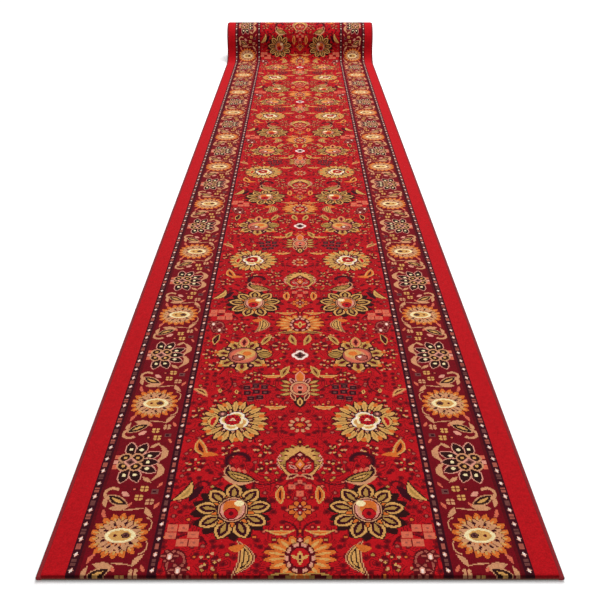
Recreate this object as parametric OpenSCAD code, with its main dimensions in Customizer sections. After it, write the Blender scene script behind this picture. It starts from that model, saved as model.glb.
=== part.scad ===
// Patterned hall runner, laid out flat with its far end still wound in a roll.
// The runner lies along +Y with its near edge at the low end of Y. X runs across it,
// Z is up, and the origin is at the middle of its footprint, on the floor.
// Every layer follows one path: flat on the floor, up through a quarter bend,
// over the top of the roll, and round it in half turns whose radius shrinks step by step.

/* [Runner] */
// Width over both overlocked edges
rug_width = 800; // [600:10:1200]
// Cut length, measured along the underside with the runner unrolled
rug_length = 6000; // [4000:50:12000]

/* [Layers] */
// Thickness of the anti-slip backing
backing_t = 1.2; // [0.8:0.1:2]
// Thickness of the latex coat that locks the yarn
latex_t = 0.8; // [0.4:0.1:1.5]
// Thickness of the ground weave that holds the tufts
weave_t = 1.5; // [1:0.1:2.5]
// Height of the cut pile above the ground weave
pile_h = 6; // [4:0.5:8]

/* [Bands across the runner] */
// Width of the overlock stitching on each long edge
overlock_w = 9; // [6:0.5:12]
// Width of the plain band beside the overlock
edge_band_w = 36.5; // [20:0.5:60]
// Width of the beaded outer guard stripe
guard_outer_w = 20; // [10:0.5:30]
// Width of the flowered border
border_w = 102.5; // [60:0.5:110]
// Width of the beaded inner guard stripe
guard_inner_w = 14.5; // [10:0.5:25]

/* [Overlock] */
// Yarn over the rim of the weave, measured outwards
overlock_rim = 1.6; // [1:0.1:3]
// How far the stitching lies below the tips of the pile
overlock_drop = 1; // [0.5:0.1:2]

/* [Roll] */
// Radius of the outermost turn, to the underside of the runner
roll_r = 88; // [80:1:120]
// Number of half turns in the roll
half_turns = 14; // [2:1:14]
// Air between one turn and the next
turn_gap = 0.5; // [0.4:0.1:1.5]

/* [Hidden] */
$fn = 96;

// Heights of the layers above the underside
latex_z = backing_t;
weave_z = latex_z + latex_t;
pile_z = weave_z + weave_t;
top_z = pile_z + pile_h;

// The roll: its pitch, the radius and the centre of each half turn
pitch = top_z + turn_gap;
function turn_r(k) = roll_r - k * pitch / 2;
function turn_y(k) = flat_l + bend_r + roll_r + (k % 2) * pitch / 2;

// The second half turn rests on the floor, which sets the radius of the bend
bend_r = turn_r(1) + top_z;

// Length left flat once the bend and the roll have taken theirs
roll_l = PI * half_turns * (turn_r(0) + turn_r(half_turns - 1)) / 2;
flat_l = rug_length - PI / 2 * bend_r - roll_l;
total_l = turn_y(0) + roll_r + top_z;

// Inner edge of each band, measured from the middle of the runner
overlock_x = rug_width / 2 - overlock_w;
edge_band_x = overlock_x - edge_band_w;
guard_outer_x = edge_band_x - guard_outer_w;
border_x = guard_outer_x - border_w;
guard_inner_x = border_x - guard_inner_w;

// A quadrant or half of a ring, cut out by a box from corner to opposite corner
module ring_part(inner_r, outer_r, corner, size) {
    intersection() {
        difference() {
            circle(outer_r);
            circle(inner_r);
        }
        translate(corner) square(size);
    }
}

// Side outline of a layer that lies from low to high above the underside
module layer_outline(low, high) {
    span = roll_r + top_z;
    translate([0, low]) square([flat_l, high - low]);
    translate([flat_l, bend_r])
        ring_part(bend_r - high, bend_r - low, [0, -span * 2], span * 2);
    for (k = [0:half_turns - 1])
        translate([turn_y(k), bend_r])
            ring_part(turn_r(k) + low, turn_r(k) + high,
                      [-span, k % 2 == 0 ? 0 : -span * 2], span * 2);
}

// A layer from x_from to x_to across the runner
module layer(x_from, x_to, low, high) {
    translate([x_from, -total_l / 2, 0])
        rotate([90, 0, 90])
            linear_extrude(x_to - x_from) layer_outline(low, high);
}

module pile(x_from, x_to) {
    layer(x_from, x_to, pile_z, top_z);
}

// Yarn wrapped over the rim: above the weave, round its edge and under the latex coat
module overlock() {
    rim_x = rug_width / 2 - overlock_rim;
    stitch_top = top_z - overlock_drop;
    layer(overlock_x, rim_x, 0, latex_z);
    layer(overlock_x, rim_x, pile_z, stitch_top);
    layer(rim_x, rug_width / 2, 0, stitch_top);
}

module anti_slip_backing() {
    color("tan") layer(-overlock_x, overlock_x, 0, latex_z);
}

module latex_coat() {
    color("lightgray")
        layer(overlock_rim - rug_width / 2, rug_width / 2 - overlock_rim, latex_z, weave_z);
}

module ground_weave() {
    color("wheat")
        layer(overlock_rim - rug_width / 2, rug_width / 2 - overlock_rim, weave_z, pile_z);
}

module pile_field() {
    color("crimson") pile(-guard_inner_x, guard_inner_x);
}

module pile_guard_inner_left() {
    color([0.27, 0.03, 0.08]) pile(-border_x, -guard_inner_x);
}

module pile_guard_inner_right() {
    color([0.27, 0.03, 0.08]) pile(guard_inner_x, border_x);
}

module pile_border_left() {
    color([0.49, 0.04, 0.1]) pile(-guard_outer_x, -border_x);
}

module pile_border_right() {
    color([0.49, 0.04, 0.1]) pile(border_x, guard_outer_x);
}

module pile_guard_outer_left() {
    color([0.27, 0.03, 0.08]) pile(-edge_band_x, -guard_outer_x);
}

module pile_guard_outer_right() {
    color([0.27, 0.03, 0.08]) pile(guard_outer_x, edge_band_x);
}

module pile_edge_band_left() {
    color("firebrick") pile(-overlock_x, -edge_band_x);
}

module pile_edge_band_right() {
    color("firebrick") pile(edge_band_x, overlock_x);
}

module overlock_left() {
    color("darkred") mirror([1, 0, 0]) overlock();
}

module overlock_right() {
    color("darkred") overlock();
}

anti_slip_backing();
latex_coat();
ground_weave();
pile_field();
pile_guard_inner_left();
pile_guard_inner_right();
pile_border_left();
pile_border_right();
pile_guard_outer_left();
pile_guard_outer_right();
pile_edge_band_left();
pile_edge_band_right();
overlock_left();
overlock_right();
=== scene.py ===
"""Looks of the hall runner: tufted pile bands, overlocked edges and the layers under them."""
import math

import bpy
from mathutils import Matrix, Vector, noise


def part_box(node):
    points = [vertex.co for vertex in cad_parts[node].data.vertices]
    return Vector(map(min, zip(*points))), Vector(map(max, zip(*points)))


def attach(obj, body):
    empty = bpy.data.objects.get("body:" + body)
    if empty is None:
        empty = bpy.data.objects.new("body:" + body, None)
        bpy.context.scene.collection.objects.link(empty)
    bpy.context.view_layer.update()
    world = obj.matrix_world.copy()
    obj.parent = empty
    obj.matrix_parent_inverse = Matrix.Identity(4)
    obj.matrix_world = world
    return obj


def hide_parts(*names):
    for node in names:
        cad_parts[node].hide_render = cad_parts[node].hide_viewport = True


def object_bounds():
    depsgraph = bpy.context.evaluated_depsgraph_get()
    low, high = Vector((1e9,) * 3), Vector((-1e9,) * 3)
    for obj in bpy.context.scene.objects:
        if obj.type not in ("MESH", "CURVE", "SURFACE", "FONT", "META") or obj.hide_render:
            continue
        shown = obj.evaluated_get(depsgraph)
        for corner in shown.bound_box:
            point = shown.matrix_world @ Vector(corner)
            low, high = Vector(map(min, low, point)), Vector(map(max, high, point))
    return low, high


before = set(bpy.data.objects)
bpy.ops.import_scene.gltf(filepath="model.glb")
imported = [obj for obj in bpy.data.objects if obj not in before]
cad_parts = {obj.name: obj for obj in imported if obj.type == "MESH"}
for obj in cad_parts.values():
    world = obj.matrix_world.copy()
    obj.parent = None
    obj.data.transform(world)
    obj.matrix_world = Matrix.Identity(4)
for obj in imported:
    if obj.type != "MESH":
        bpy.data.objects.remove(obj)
cad_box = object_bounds()

# ---------------------------------------------------------------------------
# Sizes, in metres. The bands and the overall size come from the parts in model.glb.
# ---------------------------------------------------------------------------
MM = 1000.0                 # millimetres in a metre
THICKNESS = 0.0095          # pile tips above the floor
TURN_GAP = 0.0005           # air between two turns of the roll
HALF_TURNS = 14
RUG_LENGTH = 6.0            # cut length along the underside
TELESCOPE = 0.0016          # how far the turns slip sideways inside the roll
TELESCOPE_WAVES = 2.3       # steps of that slip in a metre of rug
TELESCOPE_LANE = 4.0        # the line through the noise that it follows
FLAT_STEP = 0.25            # between two rings of points on the flat part
TURN_STEP = math.radians(5)  # and on the turns
SAME_RING = 1e-5            # rings closer than this along the rug are one ring
SHADED_RIM_WIDTH = 0.0018          # outermost part of the overlock, where painted shade darkens the yarn

low, high = (tuple(corner) for corner in cad_box)
NEAR_Y = low[1]
HALF_WIDTH = high[0]
PITCH = THICKNESS + TURN_GAP
ROLL_R = (high[2] - 2 * THICKNESS + PITCH / 2) / 2
BEND_R = ROLL_R - PITCH / 2 + THICKNESS
FLAT_L = high[1] - low[1] - BEND_R - 2 * ROLL_R - THICKNESS
CREST = BEND_R + ROLL_R     # height of the underside at the top of the roll


def height_of(node):
    """Top of a layer above the underside."""
    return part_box(node)[1].z - CREST


LATEX_Z = height_of("anti_slip_backing")
WEAVE_Z = height_of("latex_coat")
PILE_Z = height_of("ground_weave")
OVERLOCK_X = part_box("overlock_right")[0].x

# where one band of pile meets the next, in millimetres from the middle of the rug
FIELD_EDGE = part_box("pile_field")[1].x * MM
BORDER_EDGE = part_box("pile_border_right")[0].x * MM
GUARD_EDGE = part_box("pile_border_right")[1].x * MM
BAND_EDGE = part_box("pile_edge_band_right")[0].x * MM
SHADED_RIM_X = (HALF_WIDTH - SHADED_RIM_WIDTH) * MM

# ---------------------------------------------------------------------------
# The path that every layer follows
# ---------------------------------------------------------------------------
BEND_L = math.pi / 2 * BEND_R
ROLL_START = FLAT_L + BEND_L


def turn_radius(k):
    return ROLL_R - k * PITCH / 2


def turn_start(k):
    """Distance along the underside at which half turn k begins."""
    return ROLL_START + math.pi * (k * ROLL_R - PITCH / 4 * k * (k - 1))


def on_path(s):
    """Point of the underside at distance s from the near edge, and the direction the pile faces."""
    if s <= FLAT_L:
        return NEAR_Y + s, 0.0, 0.0, 1.0
    flat_end = NEAR_Y + FLAT_L
    if s <= ROLL_START:
        a = (s - FLAT_L) / BEND_R
        return flat_end + BEND_R * math.sin(a), BEND_R * (1 - math.cos(a)), -math.sin(a), math.cos(a)
    k = 0
    while k < HALF_TURNS - 1 and s > turn_start(k + 1):
        k += 1
    r = turn_radius(k)
    a = (s - turn_start(k)) / r
    side = -1 if k % 2 == 0 else 1
    ny, nz = side * math.cos(a), -side * math.sin(a)
    centre = flat_end + BEND_R + ROLL_R + (k % 2) * PITCH / 2
    return centre + r * ny, BEND_R + r * nz, ny, nz


def rug_point(x, s, h):
    """Point of the rug at x across, s along and h above the underside."""
    y, z, ny, nz = on_path(s)
    if s > ROLL_START:
        wound = min(1.0, (s - ROLL_START) / (math.pi * ROLL_R))
        x += TELESCOPE * wound * noise.noise((0.0, TELESCOPE_WAVES * s, TELESCOPE_LANE))
    return x, y + h * ny, z + h * nz


def stations(columns, fine_ends=()):
    """Distances along the rug at which a swept piece has a ring of points."""
    found = {0.0, RUG_LENGTH, FLAT_L}
    found.update(fine_ends)
    found.update(RUG_LENGTH * i / columns for i in range(1, columns))
    steps = round(FLAT_L / FLAT_STEP)
    found.update(FLAT_L * i / steps for i in range(steps))
    arcs = [(FLAT_L, BEND_R, math.pi / 2)]
    arcs += [(turn_start(k), turn_radius(k), math.pi) for k in range(HALF_TURNS)]
    for start, radius, angle in arcs:
        count = round(angle / TURN_STEP)
        found.update(start + radius * angle * i / count for i in range(count))
    ordered = sorted(s for s in found if s <= RUG_LENGTH)
    return [s for i, s in enumerate(ordered) if i == 0 or s - ordered[i - 1] > SAME_RING]


# The bake map holds the rug's length in columns side by side, and the two cut ends above them.
BAKE_LOW = 0.02             # where the columns begin and how tall they are
BAKE_TALL = 0.94
BAKE_MARGIN = 0.06          # share of a column's width that stays empty
CAP_LEFT = 0.1              # where the cut ends begin, and their width for each metre of rug
CAP_WIDE = 0.4
NEAR_CAP_LOW = 0.97
FAR_CAP_LOW = 0.985
CAP_TALL = 0.01


def sweep(name, section, along, columns, ridge=None):
    """Closed solid: the section, a loop of (x, height, share of bake width), swept along the rug.

    ridge moves point i of the section at distance s by a little, across and up."""
    count = len(section)
    verts, faces = [], []
    for s in along:
        for i, (x, h, _) in enumerate(section):
            dx, dh = ridge(i, s) if ridge else (0.0, 0.0)
            verts.append(rug_point(x + dx, s, h + dh))
    for j in range(len(along) - 1):
        for i in range(count):
            a, b = j * count + i, j * count + (i + 1) % count
            faces.append((a, b, b + count, a + count))
    last = (len(along) - 1) * count
    faces.append(tuple(reversed(range(count))))
    faces.append(tuple(range(last, last + count)))
    mesh = bpy.data.meshes.new(name)
    mesh.from_pydata(verts, [], faces)
    add_maps(mesh, section, along, columns)
    mesh.update()
    piece = bpy.data.objects.new(name, mesh)
    bpy.context.scene.collection.objects.link(piece)
    return piece


def add_maps(mesh, section, along, columns):
    """Maps a swept piece twice: "rug" is its place in millimetres, "OFBake" lays it out without overlaps."""
    count = len(section)
    rug_uv = mesh.uv_layers.new(name="rug")
    bake_uv = mesh.uv_layers.new(name="OFBake")
    places = [*side_places(section, along, columns),
              *cap_places(section, reversed(range(count)), along[0], NEAR_CAP_LOW),
              *cap_places(section, range(count), along[-1], FAR_CAP_LOW)]
    for k, (on_rug, on_bake) in enumerate(places):
        rug_uv.data[k].uv = on_rug
        bake_uv.data[k].uv = on_bake


def side_places(section, along, columns):
    """Both places of each corner of the swept sides, face by face."""
    widths = [w for _, _, w in section]
    runs = [sum(widths[:i]) for i in range(len(section) + 1)]
    column_l = RUG_LENGTH / columns
    for j in range(len(along) - 1):
        column = int((along[j] + along[j + 1]) / 2 / column_l)
        for i in range(len(section)):
            for corner, ring in ((i, j), (i + 1, j), (i + 1, j + 1), (i, j + 1)):
                x, _, _ = section[corner % len(section)]
                across = BAKE_MARGIN / 2 + (1 - BAKE_MARGIN) * runs[corner] / runs[-1]
                up = (along[ring] - column * column_l) / column_l
                yield (x * MM, along[ring] * MM), ((column + across) / columns, BAKE_LOW + BAKE_TALL * up)


def cap_places(section, corners, s, cap_low):
    """Both places of each corner of a cut end."""
    for i in corners:
        x, h, _ = section[i]
        across = CAP_LEFT + CAP_WIDE * abs(x - section[0][0])
        yield (x * MM, s * MM), (across, cap_low + CAP_TALL * h / THICKNESS)


# ---------------------------------------------------------------------------
# Colours of the yarns
# ---------------------------------------------------------------------------
def yarn(red, green, blue):
    """Linear colour from 8-bit display values."""
    def linear(value):
        value /= 255
        return value / 12.92 if value <= 0.04045 else ((value + 0.055) / 1.055) ** 2.4
    return (linear(red), linear(green), linear(blue), 1.0)


SCARLET = yarn(186, 14, 24)
CRIMSON = yarn(116, 4, 20)
MAROON = yarn(92, 4, 16)
PLUM = yarn(58, 5, 20)
BLACK = yarn(46, 12, 12)
WINE = yarn(126, 7, 18)
GOLD = yarn(214, 158, 88)
OLIVE = yarn(176, 132, 66)
ORANGE = yarn(214, 108, 42)
TAN = yarn(208, 146, 104)
SALMON = yarn(214, 104, 78)
PINK = yarn(222, 150, 128)
CREAM = yarn(246, 226, 172)
WHITE = yarn(248, 222, 208)
TAUPE = yarn(112, 62, 58)
BRICK = yarn(168, 84, 70)
FELT_GREY = yarn(88, 80, 76)
FOAM_BEIGE = yarn(128, 116, 100)
JUTE_BROWN = yarn(112, 62, 48)
STITCH_RED = yarn(138, 18, 26)
# painted shade for the overlock's outermost strip
STITCH_PAINTED_SHADE = yarn(52, 16, 12)

CLEAR = (0.0, 0.0, 0.0, 1.0)  # nothing drawn

# ---------------------------------------------------------------------------
# Sizes of the pattern, in millimetres
# ---------------------------------------------------------------------------
REPEAT = 688.8              # length of the field's pattern, as drawn, before it comes again
SHRINK = 0.990              # woven length over drawn length
TUFTS_IN_REPEAT = 360
TUFT_X = 2.0                # size of one tuft across the rug
TUFT_Y = SHRINK * REPEAT / TUFTS_IN_REPEAT
CUT_AT = 7.8                # pattern lost at the near cut end
END_SHADE = 2.2             # painted shade: how far from the cut end the last tufts are darkened, where the tips round down
BORDER_HALF = REPEAT / 4    # from the middle of a rosette to the middle of a palmette
ROSETTE_AT = 87.6           # the first rosette's middle
ROSETTE_OUT = 4             # how far the rosettes sit outwards from the border's middle line
BEADS_IN_REPEAT = 22
BEAD_PITCH = REPEAT / BEADS_IN_REPEAT
BEAD_AT = 18.0              # the first bead's middle
BLOCK_AWAY = 12.4           # from a bead to the block on each side of it
OUTER_ROW = 6.5             # from the outer guard's row of beads to the plain edge band
GUARD_RIM = 6.5             # how far the border's dark red reaches into the outer guard
NO_REPEAT = 1e5             # more than the rug's width: nothing comes again across it
VINE_HALF = 1.7             # half width of a vine in the field

OUT_OF_REACH = 9.0          # added to a field where nothing may be painted
FAINT = 0.001               # a colour shorter than this counts as CLEAR
MIX_FACTOR, MIX_A, MIX_B, MIX_RESULT = 0, 6, 7, 2  # sockets of a colour Mix node


class Drawing:
    """A pattern in shader nodes. Each stroke paints one yarn over what is there.

    Points are in millimetres: x outwards from the middle of the rug, y along it.
    A field is 0 in the middle of a shape and 1 on its outline."""

    def __init__(self, tree, point, ground):
        self.tree = tree
        self.point = point
        self.paint_on = {}
        if ground:
            plain = self.node("RGB")
            plain.outputs[0].default_value = ground
            self.paint_on["colour"] = plain.outputs[0]

    def node(self, kind, operation=None, **settings):
        made = self.tree.nodes.new("ShaderNode" + kind)
        if operation:
            made.operation = operation
        for key, value in settings.items():
            setattr(made, key, value)
        return made

    def feed(self, socket, value):
        if isinstance(value, bpy.types.NodeSocket):
            self.tree.links.new(value, socket)
        else:
            socket.default_value = value

    def math(self, operation, *values):
        made = self.node("Math", operation)
        for socket, value in zip(made.inputs, values):
            self.feed(socket, value)
        return made.outputs[0]

    def vector(self, operation, *values, output=0):
        made = self.node("VectorMath", operation)
        for socket, value in zip(made.inputs, values):
            self.feed(socket, value)
        return made.outputs[output]

    def axes(self, x, y, turn=0.0, size=(1.0, 1.0)):
        """How far the point is along and across a spot turned anticlockwise by degrees, in half sizes."""
        cos, sin = math.cos(math.radians(turn)), math.sin(math.radians(turn))
        rows = [(cos, sin), (-sin, cos)]
        found = []
        for (a, b), half in zip(rows, size):
            row = (a / half, b / half, -(a * x + b * y) / half)
            found.append(self.vector("DOT_PRODUCT", self.point, row, output=1))
        return found

    def place(self, x, y, turn=0.0, size=(1.0, 1.0), keep=0.0):
        """The point as seen from a spot. Its third number, 1 on a canvas, is kept or dropped."""
        if not turn:
            scale = (1 / size[0], 1 / size[1], keep)
            return self.vector("MULTIPLY_ADD", self.point, scale, (-x / size[0], -y / size[1], 0))
        return self.join(*self.axes(x, y, turn, size), keep)

    def at(self, x, y, turn=0.0, size=(1.0, 1.0)):
        """The same canvas, drawn on from another origin."""
        return self.on(self.place(x, y, turn, size, 1.0))

    def on(self, point):
        """The same canvas, seen through other points."""
        moved = Drawing(self.tree, point, None)
        moved.paint_on = self.paint_on
        return moved

    def split(self, point):
        return [self.vector("DOT_PRODUCT", point, axis, output=1) for axis in ((1, 0, 0), (0, 1, 0))]

    def join(self, x, y, z=1.0):
        made = self.node("CombineXYZ")
        for socket, value in zip(made.inputs, (x, y, z)):
            self.feed(socket, value)
        return made.outputs[0]

    # Fields -----------------------------------------------------------------
    def oval(self, x, y, half_x, half_y, turn=0.0):
        return self.vector("LENGTH", self.place(x, y, turn, (half_x, half_y)), output=1)

    def block(self, x, y, half_x, half_y, turn=0.0):
        folded = self.vector("ABSOLUTE", self.place(x, y, turn, (half_x, half_y)))
        return self.math("MAXIMUM", *self.split(folded))

    def diamond(self, x, y, half_x, half_y, turn=0.0):
        folded = self.vector("ABSOLUTE", self.place(x, y, turn, (half_x, half_y)))
        return self.vector("DOT_PRODUCT", folded, (1, 1, 0), output=1)

    def leaf(self, x, y, half_l, half_w, turn=0.0, bend=0.0):
        """Pointed leaf, along x before it is turned. bend curls its ends up, in half widths."""
        along, across = self.axes(x, y, turn, (half_l, half_w))
        square = self.math("MULTIPLY", along, along)
        if bend:
            across = self.math("MULTIPLY_ADD", square, -bend, across)
        return self.math("ADD", square, self.math("ABSOLUTE", across))

    def petals(self, x, y, count, ring_r, half_l, half_w, turn=0.0, size=(1.0, 1.0), pointed=False):
        """A ring of like petals, round or pointed, whose middles lie ring_r from the spot."""
        spot = self.place(x, y, turn, size)
        spot_x, spot_y = self.split(spot)
        turns = self.math("MULTIPLY", self.math("ARCTAN2", spot_y, spot_x), count / (2 * math.pi))
        swing = self.math("PINGPONG", turns, 0.5)
        reach = self.vector("LENGTH", spot, output=1)
        across = self.math("MULTIPLY", swing, 2 * math.pi / count * ring_r / half_w)
        along = self.math("MULTIPLY_ADD", reach, 1 / half_l, -ring_r / half_l)
        squares = self.math("MULTIPLY", along, along)
        if pointed:
            return self.math("ADD", squares, across)
        return self.math("SQRT", self.math("MULTIPLY_ADD", across, across, squares))

    def bow(self, x, y, radius, half_w, turn, reach=0.0, size=(1.0, 1.0)):
        """Arc of a circle, on the side that turn points to, cut off at reach from its centre."""
        spot = self.place(x, y, turn, size)
        off = self.math("SUBTRACT", self.vector("LENGTH", spot, output=1), radius)
        band = self.math("MULTIPLY", self.math("ABSOLUTE", off), 1 / half_w)
        behind = self.math("LESS_THAN", self.vector("DOT_PRODUCT", spot, (1, 0, 0), output=1), reach)
        return self.math("MULTIPLY_ADD", behind, OUT_OF_REACH, band)

    # Strokes ----------------------------------------------------------------
    def paint(self, field, *layers):
        """Paints each (limit, colour) in turn where the field is under its limit."""
        for limit, colour in layers:
            self.cover(self.math("LESS_THAN", field, limit), colour)

    def cover(self, mask, colour):
        """Paints the colour wherever the mask is 1."""
        made = self.node("Mix", data_type="RGBA")
        self.feed(made.inputs[MIX_FACTOR], mask)
        self.feed(made.inputs[MIX_A], self.paint_on["colour"])
        self.feed(made.inputs[MIX_B], colour)
        self.paint_on["colour"] = made.outputs[MIX_RESULT]

    def lay(self, sheet):
        """Lays another canvas over this one, wherever something is drawn on it."""
        painted = sheet.paint_on["colour"]
        drawn = self.math("GREATER_THAN", self.vector("LENGTH", painted, output=1), FAINT)
        self.cover(drawn, painted)


# ---------------------------------------------------------------------------
# Motifs of the border, drawn from the rosette (y = 0) to the palmette (y = BORDER_HALF)
# ---------------------------------------------------------------------------
def draw_rosette(d):
    d.paint(d.petals(3, 0, 18, 32, 18, 7, 10, pointed=True), (1, MAROON), (0.86, ORANGE), (0.3, GOLD))
    d.paint(d.petals(3, 0, 18, 26, 12, 5, 0, pointed=True), (1, MAROON), (0.84, TAN))
    d.paint(d.petals(1, 0, 9, 26, 4, 2.4, 22), (1, PLUM))
    d.paint(d.oval(0, 0, 26, 16), (1, TAN), (0.95, CREAM), (0.7, GOLD))
    d.paint(d.oval(8.5, 0, 3, 2.6), (1, MAROON))
    d.paint(d.oval(-8.5, 0, 6.5, 6), (1, BLACK), (0.72, TAUPE), (0.4, BLACK))


def draw_border_palmette(d):
    """Dark petals spread inwards from a three-lobed heart."""
    for y in (-13, 0, 13):
        d.paint(d.block(43, y, 4, 5), (1, SALMON if y else PINK))
    for x, y, turn in ((22, -34, 98), (3, -33, 68), (-15, -17, 27), (-14, 0, 0)):
        d.paint(d.leaf(x, y, 22, 11.5, turn), (1, PINK), (0.8, BLACK))
        d.paint(d.oval(x, y, 3.6, 3.6), (1, CREAM))
    d.paint(d.oval(17, 0, 21, 24), (1, BLACK))
    d.paint(d.petals(17, 0, 4, 15, 12, 11.5, 45), (1, TAN), (0.74, BLACK), (0.3, GOLD))
    d.paint(d.diamond(17, 0, 13, 13), (1, PINK), (0.66, TAUPE), (0.3, BLACK))


def draw_border_scrolls(d):
    """Leaves between the rosette and the palmette."""
    # scroll beside the palmette, with its foot
    d.paint(d.leaf(-42, 149, 27, 6, 90, -3), (1, TAN))
    d.paint(d.leaf(-20, 127, 11, 4, 40), (1, TAN))
    # hooked leaf on the outer side
    d.paint(d.bow(33, 94, 12, 3, 30, -5), (1, TAN))
    d.paint(d.leaf(41, 74, 13, 3.6, 84, 0.6), (1, TAN))
    d.paint(d.leaf(37, 46, 12, 3.4, 68, 0.8), (1, SALMON))
    # dark leaf with a gilt vein
    d.paint(d.leaf(14, 61, 17, 7, 170), (1, TAN))
    d.paint(d.leaf(10, 92, 9, 5, 40), (1, PINK))
    d.paint(d.leaf(21, 77, 23, 10, 32, 0.2), (1, TAN), (0.78, BLACK), (0.3, GOLD))
    # small cross flowers
    for x, y, colour in ((-20, 105, GOLD), (-14, 84, GOLD), (-34, 74, TAN)):
        d.paint(d.petals(x, y, 4, 4.6, 3.6, 3, 45), (1, colour))
    d.paint(d.block(-4, 104, 5, 4.4), (1, MAROON), (0.4, SALMON))
    d.paint(d.block(-39, 98, 6, 5), (1, TAUPE), (0.5, PLUM))
    d.paint(d.leaf(-46, 115, 8, 2.6, 120), (1, SALMON))
    # vine from the scroll down to the rosette's side
    d.paint(d.leaf(-35, 50, 15, 4.5, 58, 0.5), (1, TAN))
    d.paint(d.bow(-30, 22, 17, 1.1, 180, 6), (1, TAN))
    d.paint(d.leaf(-11, 57, 20, 1.6, 172), (1, TAN))
    d.paint(d.leaf(-47, 66, 8, 3, 112), (1, SALMON))
    d.paint(d.leaf(-2, 68, 6, 2.4, 120), (1, SALMON))


def draw_guard(d, middle):
    """Row of pale beads with a pair of blocks between them."""
    x, y = d.split(d.point)
    off = d.math("SUBTRACT", y, BEAD_AT)
    from_bead = d.math("WRAP", off, BEAD_PITCH / 2, -BEAD_PITCH / 2)
    row = d.on(d.join(d.math("SUBTRACT", x, middle), from_bead))
    # every other pair of blocks is reddish
    pairs = d.node("Mix", data_type="RGBA")
    beyond = d.math("WRAP", d.math("SUBTRACT", off, BEAD_PITCH), BEAD_PITCH, -BEAD_PITCH)
    d.feed(pairs.inputs[MIX_FACTOR], d.math("GREATER_THAN", beyond, 0.0))
    pairs.inputs[MIX_A].default_value = TAUPE
    pairs.inputs[MIX_B].default_value = BRICK
    for away in (-BLOCK_AWAY, BLOCK_AWAY):
        row.paint(row.block(0, away, 3.6, 2.6), (1, pairs.outputs[MIX_RESULT]))
    row.paint(row.diamond(0, 0, 3.6, 5.6, 14), (1, PINK), (0.7, WHITE))


# ---------------------------------------------------------------------------
# Motifs of the field. x runs outwards from the middle of the rug.
# ---------------------------------------------------------------------------
def draw_flame_lotus(d):
    """Shield with flames on both sides, on the middle line."""
    d.paint(d.petals(0, 0, 16, 38, 22, 9, 11, (1, 0.74), True), (1, MAROON), (0.86, ORANGE), (0.36, GOLD))
    d.paint(d.leaf(30, -35, 24, 5, 172), (1, OLIVE), (0.4, MAROON))
    d.paint(d.oval(0, -1, 25, 32), (1, MAROON), (0.93, TAN), (0.86, PINK), (0.72, MAROON), (0.6, SCARLET))
    d.paint(d.petals(0, -1, 10, 21, 5, 2.4, 18, (1, 1.2)), (1, MAROON))
    d.paint(d.leaf(0, -2, 15, 5, 90), (1, GOLD), (0.4, MAROON))
    d.paint(d.leaf(7, -1, 9, 3, 35), (1, GOLD))
    d.paint(d.diamond(0, 34, 7, 8), (1, MAROON), (0.6, PINK))


def draw_orange_flower(d):
    d.paint(d.petals(0, 0, 8, 13, 8.5, 4.8, 22), (1, MAROON), (0.82, ORANGE))
    d.paint(d.petals(0, 0, 4, 6.5, 6, 3.2, 0), (1, MAROON), (0.5, PINK))
    d.paint(d.oval(0, -19, 4.4, 5), (1, OLIVE))


def draw_tiles(d, tiles):
    for x, y, half_x, half_y in tiles:
        d.paint(d.block(x, y, half_x, half_y), (1, SALMON), (0.24, BRICK))


def draw_bell_lotus(d):
    """Gilt bell over an orange bud, on the middle line."""
    d.paint(d.leaf(36, -2, 22, 6, 84, 0.4), (1, PINK))
    d.paint(d.leaf(25, -18, 26, 8, 62, -0.8), (1, MAROON), (0.84, GOLD), (0.25, TAUPE))
    d.paint(d.petals(0, 8, 16, 31, 9, 5, 0, pointed=True), (1, MAROON), (0.8, OLIVE))
    d.paint(d.oval(0, 13, 32, 29), (1, OLIVE), (0.9, GOLD))
    d.paint(d.petals(0, 15, 12, 26, 4, 2, 0), (1, MAROON))
    d.paint(d.oval(0, -12, 27, 25), (1, MAROON), (0.92, SCARLET))
    d.paint(d.petals(0, -10, 8, 17, 6, 4, 22, pointed=True), (1, MAROON), (0.5, SALMON))
    d.paint(d.bow(0, -14, 30, 3, 90, 12, (1, 0.8)), (1, MAROON))
    d.paint(d.diamond(0, 18, 11, 9), (1, MAROON), (0.5, PINK))
    d.paint(d.diamond(0, -8, 11, 20), (1, MAROON), (0.76, ORANGE), (0.3, PINK))
    d.paint(d.leaf(13, -15, 9, 3.6, 40), (1, PINK), (0.5, MAROON))
    d.paint(d.leaf(14, -38, 13, 6, 150, 0.5), (1, TAN), (0.5, MAROON))
    d.paint(d.diamond(0, 46, 8, 5), (1, MAROON))


def draw_star(d):
    d.paint(d.petals(0, 0, 10, 16, 7, 3.2, 0), (1, TAN))
    d.paint(d.oval(0, 0, 14, 12), (1, MAROON), (0.8, SCARLET), (0.62, MAROON))
    d.paint(d.diamond(0, 0, 9, 7), (1, ORANGE))


def draw_crowned_ring(d):
    """Ringed flower with a flame above and a dark pod below, on the middle line."""
    for y in (22, 8, -6, -20):
        d.paint(d.leaf(29, y, 13, 6, 8 + y), (1, BLACK), (0.72, OLIVE), (0.25, GOLD))
    d.paint(d.petals(0, 58, 6, 10, 6, 3, 0), (1, ORANGE))
    d.paint(d.leaf(0, 38, 24, 11, 90), (1, PINK), (0.74, ORANGE))
    d.paint(d.leaf(15, 24, 13, 5, 60), (1, PINK), (0.5, MAROON))
    d.paint(d.leaf(0, -46, 20, 12, 90), (1, BLACK), (0.5, GOLD), (0.2, MAROON))
    d.paint(d.leaf(14, -28, 16, 5, 70), (1, TAN), (0.5, MAROON))
    d.paint(d.oval(0, 0, 22, 25), (1, MAROON), (0.93, TAN), (0.72, MAROON), (0.66, SALMON))
    d.paint(d.oval(0, 2, 7, 7), (1, PINK), (0.66, MAROON))
    d.paint(d.oval(0, -13, 5, 4), (1, BLACK))


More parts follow.
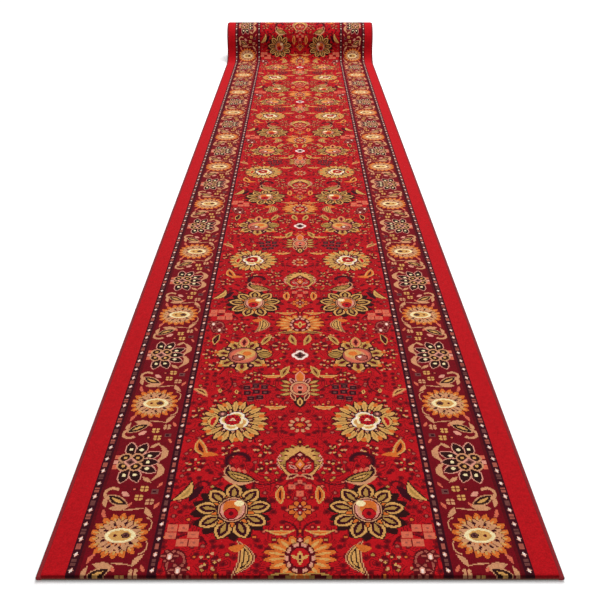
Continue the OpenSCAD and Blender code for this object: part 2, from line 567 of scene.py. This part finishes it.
def draw_quatrefoil(d):
    d.paint(d.petals(0, 0, 4, 9.5, 8.6, 8.6, 0), (1, WHITE))
    d.paint(d.petals(0, 0, 4, 6.5, 5.5, 5, 0), (1, TAUPE))
    for half_x, half_y in ((8, 1.9), (1.9, 8)):
        d.paint(d.block(0, 0, half_x, half_y), (1, BLACK))


def draw_fringed_palmette(d):
    """Gilt petals with dark seeds in a black fringe, round a red heart."""
    d.paint(d.petals(3, -4, 16, 47, 22, 10, 16, (1, 0.94), True), (1, BLACK))
    gilt = d.petals(0, -3, 9, 40, 25, 15, 8, pointed=True)
    d.paint(gilt, (1, BLACK), (0.86, GOLD), (0.56, PLUM), (0.24, OLIVE))
    d.paint(d.petals(0, -3, 9, 27, 12, 5, 28, pointed=True), (1, BLACK), (0.6, ORANGE))
    d.paint(d.oval(1, 0, 27, 30), (1, BLACK), (0.92, TAN), (0.84, MAROON), (0.76, PINK), (0.62, TAN))
    d.paint(d.oval(3, 6, 15, 15), (1, ORANGE))
    d.paint(d.oval(-9, 14, 8, 7), (1, CREAM))
    d.paint(d.petals(3, -9, 6, 7, 6, 5, 0), (1, MAROON), (0.8, SCARLET))
    d.paint(d.oval(3, -9, 4, 4), (1, MAROON))


def draw_fan_palmette(d):
    """Fan of gilt and black ribs round a pale heart that holds a red flower."""
    d.paint(d.petals(0, 0, 22, 44, 22, 7, 8, (1.05, 1), True), (1, BLACK), (0.74, GOLD), (0.2, OLIVE))
    d.paint(d.petals(0, 0, 11, 55, 7, 5, 0, pointed=True), (1, ORANGE))
    d.paint(d.petals(0, 0, 11, 30, 10, 5, 8, pointed=True), (1, BLACK), (0.5, TAN))
    heart = d.petals(0, 0, 4, 15, 15, 15, 16)
    d.paint(heart, (1, BLACK), (0.9, WHITE), (0.74, CREAM), (0.56, GOLD), (0.3, TAN))
    d.paint(d.oval(0, 0, 17, 17), (1, CREAM))
    d.paint(d.petals(3, 4, 8, 10, 7, 5, 0), (1, MAROON), (0.84, SCARLET), (0.4, MAROON))
    d.paint(d.oval(3, 4, 3.2, 3.2), (1, PINK))
    d.paint(d.oval(-12, -14, 8, 6, 30), (1, GOLD))
    d.paint(d.oval(24, 22, 10, 10), (1, BLACK), (0.7, TAUPE), (0.3, PINK))
    d.paint(d.leaf(41, 0, 22, 11, 100, 0.5), (1, BLACK), (0.84, GOLD), (0.42, SCARLET))


def draw_round_bloom(d):
    """Disc in a dark ring, with cups and knobs round it."""
    cups = d.petals(0, 0, 7, 42, 20, 18, 12, pointed=True)
    d.paint(cups, (1, BLACK), (0.84, GOLD), (0.5, OLIVE), (0.24, MAROON))
    d.paint(d.petals(0, 0, 7, 43, 8.5, 8.5, 38), (1, PLUM), (0.36, PINK))
    d.paint(d.petals(0, 0, 7, 60, 6, 5, 12, pointed=True), (1, ORANGE))
    d.paint(d.leaf(0, 53, 25, 14, 90), (1, MAROON), (0.86, GOLD), (0.6, SALMON), (0.3, MAROON))
    d.paint(d.leaf(-48, 3, 18, 15, 0), (1, BLACK), (0.8, OLIVE), (0.5, BLACK), (0.36, OLIVE))
    d.paint(d.oval(0, 0, 34, 33), (1, BLACK), (0.92, BRICK), (0.8, SALMON), (0.55, TAN))
    d.paint(d.oval(-9, 8, 19, 17), (1, GOLD), (0.5, ORANGE))
    d.paint(d.oval(9, -8, 15, 12), (1, MAROON), (0.8, BRICK))
    d.paint(d.oval(5, -4, 4, 4), (1, WHITE))


def draw_sickle_leaf(d):
    """Tall curved leaf of gilt, dark and pink stripes."""
    blade = d.leaf(4, 0, 35, 13, 94, -1.5)
    d.paint(blade, (1, TAN), (0.84, MAROON), (0.68, GOLD), (0.4, BLACK), (0.24, GOLD))
    d.paint(d.leaf(20, 20, 14, 7, 165, -0.6), (1, ORANGE))


def draw_tailed_leaf(d):
    d.paint(d.leaf(0, 0, 26, 11, 68, 0.5), (1, GOLD), (0.7, ORANGE), (0.34, MAROON))
    d.paint(d.leaf(-18, -17, 16, 6, 172, 0.8), (1, ORANGE))


def draw_small_leaf(d, rim, fill, turn=0.0, bend=0.3):
    d.paint(d.leaf(0, 0, 23, 8, turn, bend), (1, rim), (0.7, fill), (0.28, MAROON))


def draw_hooked_leaf(d):
    """Striped leaf with a dark hook over it."""
    d.paint(d.bow(6, 42, 20, 5, 70, -8), (1, MAROON), (0.5, PLUM))
    d.paint(d.leaf(2, -10, 30, 9, 12, 0.8), (1, TAN))
    d.paint(d.leaf(22, 14, 18, 7, 82, 0.6), (1, TAN), (0.6, PLUM))
    d.paint(d.leaf(0, 0, 30, 12, 24, 0.5), (1, BLACK), (0.74, OLIVE), (0.4, BLACK), (0.2, GOLD))
    for x in (-8, 2, 12):
        d.paint(d.leaf(x, 17 + x / 3, 7, 3, 70), (1, SALMON))


def draw_blossom(d):
    """Pale bead in a dark calyx."""
    d.paint(d.petals(0, 0, 6, 9, 7, 5, 0, pointed=True), (1, MAROON), (0.5, BRICK))
    d.paint(d.oval(0, -1, 7, 10), (1, MAROON), (0.66, PINK), (0.4, WHITE))


def draw_twin_blossoms(d):
    """Two blossoms on one round leaf."""
    d.paint(d.oval(0, 0, 17, 27), (1, MAROON), (0.86, BRICK), (0.7, CRIMSON))
    for x, y in ((11, 14), (-5, -13)):
        draw_blossom(d.at(x, y))


def draw_edge_curl(d):
    """Gilt crescent with a dark curl, close to the guard."""
    d.paint(d.bow(-26, 24, 9, 2.6, 60, -7), (1, MAROON))
    d.paint(d.leaf(-14, 4, 22, 8, 118, 0.4), (1, PLUM))
    d.paint(d.leaf(0, 4, 30, 10, 122, -1.3), (1, BLACK), (0.76, GOLD), (0.3, OLIVE))


def draw_boat(d):
    d.paint(d.leaf(0, 0, 24, 5, 0, 1.2), (1, GOLD), (0.4, ORANGE))
    d.paint(d.leaf(-2, 8, 7, 3, 90), (1, GOLD), (0.4, MAROON))


def draw_sprig(d, turn=0.0):
    """Dark twig with gilt and pink buds."""
    d.paint(d.petals(0, 0, 5, 9, 8, 3, turn), (1, MAROON))
    d.paint(d.petals(0, 0, 5, 15, 3, 2.6, turn + 30), (1, TAN))
    d.paint(d.petals(0, 0, 3, 9, 2.4, 2.4, turn + 75), (1, GOLD))


def draw_grid(d):
    """Cluster of small dark squares in pale frames."""
    for x, y in ((-18, 14), (0, 18), (18, 12), (-20, -4), (-2, -2), (16, -6), (-10, -20), (8, -24)):
        d.paint(d.block(x, y, 8, 7.5), (1, TAUPE), (0.8, PLUM), (0.3, TAUPE))


def draw_seed(d):
    d.paint(d.leaf(0, 0, 8, 4, 80), (1, GOLD), (0.4, MAROON))


STEM_SCALE = 0.021          # how often the stems wander, per millimetre
STEM_LEVELS = (0.36, 0.42, 0.47, 0.52, 0.57, 0.63)
STEM_HALF = 0.0075          # half width of a stem, on the same scale as the levels
BUD_SCALE = 0.055           # buds per millimetre
BUD_SHADE = 0.3             # radii of a bud's shade, its cup and its petals, in cells of BUD_SCALE
BUD_CUP = 0.16
BUD_PETALS = 0.15


def draw_undergrowth(d):
    """Thin stems that wander over the ground, with small buds along them."""
    wander = d.node("TexNoise", noise_dimensions="2D")
    d.feed(wander.inputs["Vector"], d.point)
    wander.inputs["Scale"].default_value = STEM_SCALE
    wander.inputs["Detail"].default_value = 1.0
    level = wander.outputs["Fac"]
    for height in STEM_LEVELS:
        off = d.math("ABSOLUTE", d.math("SUBTRACT", level, height))
        d.paint(off, (STEM_HALF, WINE))
    buds = d.node("TexVoronoi", voronoi_dimensions="2D")
    d.feed(buds.inputs["Vector"], d.point)
    buds.inputs["Scale"].default_value = BUD_SCALE
    near = buds.outputs["Distance"]
    kind = d.vector("DOT_PRODUCT", buds.outputs["Color"], (1, 0, 0), output=1)
    d.paint(near, (BUD_SHADE, WINE), (BUD_CUP, MAROON))
    # share of the buds that have this yarn or one that comes after it
    for share, colour in ((0.44, BRICK), (0.3, OLIVE), (0.2, SALMON), (0.1, ORANGE)):
        petals = d.math("LESS_THAN", near, BUD_PETALS)
        d.cover(d.math("MULTIPLY", d.math("LESS_THAN", kind, share), petals), colour)


def draw_field(d):
    """The ground's undergrowth with the motifs laid over it."""
    motifs = Drawing(d.tree, d.point, CLEAR)
    draw_motifs(motifs)
    draw_undergrowth(d)
    d.lay(motifs)


def draw_motifs(d):
    """Every motif of one repeat, from the vines up to the flowers that lie over them."""
    for x, y, radius, turn, reach in (
            (30, 92, 26, 160, 8), (62, 232, 30, 250, 14), (40, 200, 40, 330, 26),
            (176, 60, 30, 110, 16), (160, 246, 34, 200, 20), (150, 300, 40, 60, 26),
            (40, 330, 46, 20, 34), (90, 440, 60, 100, 40), (180, 500, 40, 200, 26),
            (50, 560, 40, 300, 26), (120, 520, 50, 60, 34), (190, 640, 34, 170, 20),
            (30, 630, 34, 20, 22), (100, 690, 40, 250, 24), (196, 560, 36, 150, 24)):
        d.paint(d.bow(x, y, radius, VINE_HALF, turn, reach), (1, MAROON))
    for x, y, turn in ((140, 36, 0), (60, 247, 20), (188, 252, 60), (68, 293, 40), (128, 290, 0),
                       (158, 431, 10), (196, 610, 30), (44, 640, 50), (60, 570, 15), (186, 22, 5),
                       (98, 520, 40), (180, 560, 70), (196, 400, 0), (62, 690, 20)):
        draw_sprig(d.at(x, y), turn)
    draw_flame_lotus(d.at(0, 44))
    draw_orange_flower(d.at(0, 144))
    draw_tiles(d, ((0, 181, 5.5, 6), (14.5, 197, 6.5, 6), (0, 209, 4.5, 4.5)))
    draw_bell_lotus(d.at(0, 262))
    draw_star(d.at(0, 364))
    draw_crowned_ring(d.at(0, 482))
    draw_quatrefoil(d.at(0, 603.5))
    draw_sickle_leaf(d.at(79, 41))
    draw_small_leaf(d.at(34, 178), GOLD, ORANGE, 90)
    draw_boat(d.at(32, 93))
    draw_tiles(d, ((188, 104, 8.6, 7.4), (206, 104, 8.6, 7.4), (171, 89, 8.4, 7), (207, 87, 8.6, 7.4),
                   (168, 73, 8.4, 7), (187, 73, 8.6, 7.2)))
    draw_twin_blossoms(d.at(191, 32))
    draw_fringed_palmette(d.at(111, 144))
    draw_edge_curl(d.at(193, 178))
    draw_hooked_leaf(d.at(106, 221))
    draw_tailed_leaf(d.at(183, 298))
    draw_fan_palmette(d.at(127, 376))
    draw_boat(d.at(48, 417))
    draw_grid(d.at(91, 472))
    for x, y in ((129, 470), (163, 474)):
        draw_seed(d.at(x, y))
    draw_small_leaf(d.at(200, 472), SALMON, GOLD, 40, -0.8)
    draw_boat(d.at(58, 523))
    draw_small_leaf(d.at(33, 541), GOLD, OLIVE, 110)
    draw_round_bloom(d.at(125, 602))
    draw_small_leaf(d.at(77, 665), GOLD, OLIVE, 118)
    draw_small_leaf(d.at(17, 665), GOLD, OLIVE, 75)
    draw_small_leaf(d.at(190, 668), GOLD, BLACK, 100)


# ---------------------------------------------------------------------------
# Materials
# ---------------------------------------------------------------------------
def new_material(name, colour):
    """A material of one colour. Returns it, its shader, a drawing to paint on and its map."""
    material = bpy.data.materials.new(name)
    material.use_nodes = True
    tree = material.node_tree
    d = Drawing(tree, None, colour)
    rug = d.node("UVMap", uv_map="rug").outputs[0]
    return material, tree.nodes["Principled BSDF"], d, rug


def noise_of(d, point, scale, detail=2.0):
    made = d.node("TexNoise", noise_dimensions="3D")
    d.feed(made.inputs["Vector"], point)
    made.inputs["Scale"].default_value = scale
    made.inputs["Detail"].default_value = detail
    return made.outputs["Fac"]


def tone(d, shader, shade):
    """Colours the shader with the drawing, made lighter or darker by the shade."""
    toned = d.node("VectorMath", "SCALE")
    d.feed(toned.inputs[0], d.paint_on["colour"])
    d.feed(toned.inputs["Scale"], shade)
    d.feed(shader.inputs["Base Color"], toned.outputs[0])


def roughen(d, shader, relief, strength, distance):
    bump = d.node("Bump")
    bump.inputs["Strength"].default_value = strength
    bump.inputs["Distance"].default_value = distance
    d.feed(bump.inputs["Height"], relief)
    d.feed(shader.inputs["Normal"], bump.outputs[0])


PILE_DARKEST = 0.62         # shade of the darkest tuft
TUFT_SPREAD = 0.3           # how much one tuft may differ from the next
CLOUD_SPREAD = 0.42         # how much one patch may differ from the next
CLOUD_SCALE = 0.09
END_PAINTED_SHADE = 0.55           # painted shade: share of its colour that a tuft of the cut end loses
FIBRE_SCALE = 1.4
PILE_BUMP = (0.7, 0.0011)   # strength and height in metres


def pile_material(name, ground, draw=None):
    """Cut pile: every tuft has one colour, a little lighter or darker than the next."""
    material, shader, d, rug = new_material(name, ground)
    tuft = d.vector("SNAP", rug, (TUFT_X, TUFT_Y, 1))
    middle = d.vector("ADD", tuft, (TUFT_X / 2, TUFT_Y / 2, 1))
    if draw:
        drawn = d.vector("MULTIPLY_ADD", middle, (1, 1 / SHRINK, 1), (0, CUT_AT, 0))
        # both halves are alike, and the pattern comes again along the rug
        d.point = d.vector("MODULO", d.vector("ABSOLUTE", drawn), (NO_REPEAT, REPEAT, 2))
        draw(d)
    chance = d.node("TexWhiteNoise", noise_dimensions="3D")
    d.feed(chance.inputs["Vector"], middle)
    cloud = noise_of(d, rug, CLOUD_SCALE, 3)
    shade = d.math("MULTIPLY_ADD", chance.outputs["Value"], TUFT_SPREAD, PILE_DARKEST)
    shade = d.math("MULTIPLY_ADD", cloud, CLOUD_SPREAD, shade)
    # painted shade on the last tufts before the cut end
    end = d.math("LESS_THAN", d.split(middle)[1], END_SHADE)
    shade = d.math("MULTIPLY_ADD", d.math("MULTIPLY", end, shade), -END_PAINTED_SHADE, shade)
    tone(d, shader, shade)
    # each tuft is a small dome of fibres
    cell = d.vector("DIVIDE", rug, (TUFT_X, TUFT_Y, 1))
    inside = d.vector("SUBTRACT", d.vector("FRACTION", cell), (0.5, 0.5, 0))
    from_middle = d.vector("LENGTH", inside, output=1)
    relief = d.math("MULTIPLY_ADD", from_middle, -1.0, noise_of(d, rug, FIBRE_SCALE))
    roughen(d, shader, relief, *PILE_BUMP)
    shader.inputs["Roughness"].default_value = 0.9
    shader.inputs["Specular IOR Level"].default_value = 0.04
    shader.inputs["Sheen Weight"].default_value = 0.05
    shader.inputs["Sheen Roughness"].default_value = 0.5
    return material


def draw_border(d):
    x, y = d.split(d.point)
    folded = d.math("PINGPONG", d.math("SUBTRACT", y, ROSETTE_AT), BORDER_HALF)
    half = d.on(d.join(x, folded))
    centre = half.at((BORDER_EDGE + GUARD_EDGE) / 2 + ROSETTE_OUT, 0)
    draw_border_scrolls(centre)
    draw_rosette(centre)
    draw_border_palmette(centre.at(0, BORDER_HALF))


def draw_outer_guard(d):
    draw_guard(d, BAND_EDGE - OUTER_ROW)
    off = d.math("ABSOLUTE", d.math("SUBTRACT", d.split(d.point)[0], GUARD_EDGE))
    d.paint(off, (GUARD_RIM, MAROON))


def draw_inner_guard(d):
    draw_guard(d, (FIELD_EDGE + BORDER_EDGE) / 2)


SPECK_SCALE = 0.6           # specks of a felt, foam or yarn, per millimetre
SPECK_SPREAD = 0.5
SPECK_DARKEST = 0.75
PLAIN_BUMP = (0.4, 0.0005)  # strength and height in metres


def plain_material(name, colour, rim=None):
    """Felted, foamed or spun material. rim is a colour of painted shade, laid on the overlock's outermost
    strip.
    """
    material, shader, d, rug = new_material(name, colour)
    speck = noise_of(d, rug, SPECK_SCALE, 5)
    if rim:
        outwards = d.vector("DOT_PRODUCT", d.vector("ABSOLUTE", rug), (1, 0, 0), output=1)
        # painted shade over the overlock's outermost strip
        d.cover(d.math("GREATER_THAN", outwards, SHADED_RIM_X), rim)
    tone(d, shader, d.math("MULTIPLY_ADD", speck, SPECK_SPREAD, SPECK_DARKEST))
    roughen(d, shader, speck, *PLAIN_BUMP)
    shader.inputs["Roughness"].default_value = 0.95
    return material


field = pile_material("field_wool", SCARLET, draw_field)
border = pile_material("border_wool", CRIMSON, draw_border)
outer_guard = pile_material("outer_guard_wool", PLUM, draw_outer_guard)
inner_guard = pile_material("inner_guard_wool", PLUM, draw_inner_guard)
band = pile_material("edge_band_wool", SCARLET)
felt = plain_material("felt", FELT_GREY)
latex = plain_material("latex_foam", FOAM_BEIGE)
jute = plain_material("jute", JUTE_BROWN)
# the overlock's outermost strip gets painted shade
stitches = plain_material("stitch_yarn", STITCH_RED, rim=STITCH_PAINTED_SHADE)


# ---------------------------------------------------------------------------
# Pieces
# ---------------------------------------------------------------------------
HIDDEN_SHARE = 0.05         # how wide the underside is in the bake map, as a share of the top


def slab(x_from, x_to, bottom, top):
    """Section of a layer: top, two sides and a narrow share of the map for the hidden underside."""
    width, side = x_to - x_from, top - bottom
    hidden = width * HIDDEN_SHARE
    return [(x_from, bottom, side), (x_from, top, width), (x_to, top, side), (x_to, bottom, hidden)]


def mirrored(section):
    """The same section on the other side of the rug, still going round the same way."""
    count = len(section)
    return [(-section[i][0], section[i][1], section[i - 1][2]) for i in reversed(range(count))]


def add(piece, node, material):
    """Gives a piece its material, hides the model's node that it stands for and hangs the piece under the
    root body.
    """
    piece.data.materials.append(material)
    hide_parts(node)
    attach(piece, "root")
    return piece


END_ROUND = 0.005           # length over which the pile leans down to the cut end
END_RINGS = 5
END_SINK = 0.0028           # how far its tips sink there


def lean_down(i, s):
    """The tips at the near end, points 1 and 2 of a slab, have nothing to lean on, so they sink."""
    if i not in (1, 2) or s >= END_ROUND:
        return 0.0, 0.0
    reach = 1 - s / END_ROUND
    return 0.0, -END_SINK * reach * reach


def pile_piece(name, node, material, columns):
    x_from, x_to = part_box(node)[0].x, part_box(node)[1].x
    end_rings = [END_ROUND * i / END_RINGS for i in range(1, END_RINGS + 1)]
    section = slab(x_from, x_to, PILE_Z, THICKNESS)
    piece = sweep(name, section, stations(columns, end_rings), columns, lean_down)
    add(piece, node, material)


# the last number is the count of columns in the bake map: narrow bands need more of them
pile_piece("field_tufts", "pile_field", field, 4)
for side in ("left", "right"):
    pile_piece(f"inner_guard_tufts_{side}", f"pile_guard_inner_{side}", inner_guard, 15)
    pile_piece(f"border_tufts_{side}", f"pile_border_{side}", border, 8)
    pile_piece(f"outer_guard_tufts_{side}", f"pile_guard_outer_{side}", outer_guard, 14)
    pile_piece(f"edge_band_tufts_{side}", f"pile_edge_band_{side}", band, 11)

LAYER_COLUMNS = 4
layers_along = stations(LAYER_COLUMNS)


def layer(name, node, material, bottom, top):
    """One of the flat layers under the pile, from overlock to overlock."""
    section = slab(-OVERLOCK_X, OVERLOCK_X, bottom, top)
    return add(sweep(name, section, layers_along, LAYER_COLUMNS), node, material)


layer("felt_backing", "anti_slip_backing", felt, 0, LATEX_Z)
layer("latex_layer", "latex_coat", latex, LATEX_Z, WEAVE_Z)
weave = layer("woven_ground", "ground_weave", jute, WEAVE_Z, PILE_Z)

STITCH = 0.0036             # length of one stitch along the rim
OVERLOCK_STEPS = 6000       # steps between the rings of an overlocked edge
LEAN = 0.35                 # how far a stitch leans, as a share of its length, from point to point
DENT_X = 0.00045            # depth of the dents between stitches, on the rim and on top
DENT_TOP = 0.0005
OVERLOCK_COLUMNS = 15


def overlock_section():
    """The right edge's outline: up the inside, over the top, round the rim and back below."""
    w = HALF_WIDTH
    points = [(OVERLOCK_X, 0.0), (OVERLOCK_X, 0.0066), (OVERLOCK_X + 0.0016, 0.0076),
              (OVERLOCK_X + 0.0038, 0.0082), (w - 0.0028, 0.0076), (w - 0.0010, 0.0062),
              (w - 0.0002, 0.0042), (w - 0.0004, 0.0020), (w - 0.0016, 0.0004), (w - 0.0030, 0.0)]
    return [(x, h, math.dist((x, h), points[(i + 1) % len(points)])) for i, (x, h) in enumerate(points)]


FIRST_OF_RIM, FIRST_BELOW, LAST_POINT = 4, 8, 9  # points of that outline


def stitch_ridge(i, s):
    """How far point i of the right edge's outline dips between two stitches."""
    if i in (0, LAST_POINT):
        return 0.0, 0.0
    dip = 1 - abs(math.sin(math.pi * (s / STITCH + LEAN * i)))
    return (-DENT_X * dip if i >= FIRST_OF_RIM else 0.0), (-DENT_TOP * dip if i < FIRST_BELOW else 0.0)


def left_ridge(i, s):
    dx, dh = stitch_ridge(LAST_POINT - i, s)
    return -dx, dh


right_section = overlock_section()
overlock_along = [RUG_LENGTH * i / OVERLOCK_STEPS for i in range(OVERLOCK_STEPS + 1)]
for side, section, ridge in (("left", mirrored(right_section), left_ridge),
                             ("right", right_section, stitch_ridge)):
    piece = sweep(f"overlock_stitches_{side}", section, overlock_along, OVERLOCK_COLUMNS, ridge)
    add(piece, f"overlock_{side}", stitches)

# ---------------------------------------------------------------------------
# Camera, floor and light
# ---------------------------------------------------------------------------
CAMERA_PITCH = 30           # degrees below the horizon
CAMERA_HEIGHT = 1.1665 * 2 * HALF_WIDTH
CAMERA_BACK = 0.961 * 2 * HALF_WIDTH
CAMERA_LENS = 44.94
FLOOR_REACH = 40.0          # half of the floor's side
FLOOR_DROP = 0.0005         # keeps the floor clear of the felt
WHITE_LIGHT = (1, 1, 1, 1)
KEY_AT = (1.2, 2.2, 5.6)
KEY_AIM = (0, -0.4, 0)
KEY_SIDE = 5.0
KEY_POWER = 495
SKY = 0.3                   # strength of the light from all round

camera = bpy.data.objects.new("camera", bpy.data.cameras.new("camera"))
bpy.context.scene.collection.objects.link(camera)
camera.location = (0, NEAR_Y - CAMERA_BACK, CAMERA_HEIGHT)
camera.rotation_euler = (math.radians(90 - CAMERA_PITCH), 0, 0)
camera.data.lens = CAMERA_LENS
bpy.context.scene.camera = camera



def white_paint():
    """Flat white that glows a little, so that the floor has no grey."""
    paint = bpy.data.materials.new("floor_paint")
    paint.use_nodes = True
    shader = paint.node_tree.nodes["Principled BSDF"]
    shader.inputs["Base Color"].default_value = (0.95, 0.95, 0.95, 1)
    shader.inputs["Roughness"].default_value = 1.0
    shader.inputs["Specular IOR Level"].default_value = 0.0
    shader.inputs["Emission Color"].default_value = WHITE_LIGHT
    shader.inputs["Emission Strength"].default_value = 0.2
    return paint


floor_mesh = bpy.data.meshes.new("floor")
floor_corners = [(x * FLOOR_REACH, y * FLOOR_REACH, 0) for x, y in ((-1, -1), (1, -1), (1, 1), (-1, 1))]
floor_mesh.from_pydata(floor_corners, [], [(0, 1, 2, 3)])
floor_mesh.materials.append(white_paint())
floor = bpy.data.objects.new("floor", floor_mesh)
bpy.context.scene.collection.objects.link(floor)
floor.location.z = -FLOOR_DROP

key = bpy.data.lights.new("key", "AREA")
key.shape = "SQUARE"
key.size = KEY_SIDE
key.energy = KEY_POWER
lamp = bpy.data.objects.new("key", key)
bpy.context.scene.collection.objects.link(lamp)
lamp.location = KEY_AT
lamp.rotation_euler = (Vector(KEY_AIM) - Vector(KEY_AT)).to_track_quat("-Z", "Y").to_euler()

world = bpy.data.worlds.new("studio")
world.use_nodes = True
sky = world.node_tree.nodes["Background"]
sky.inputs["Color"].default_value = WHITE_LIGHT
sky.inputs["Strength"].default_value = SKY
bpy.context.scene.world = world
bpy.context.scene.view_settings.view_transform = "Standard"
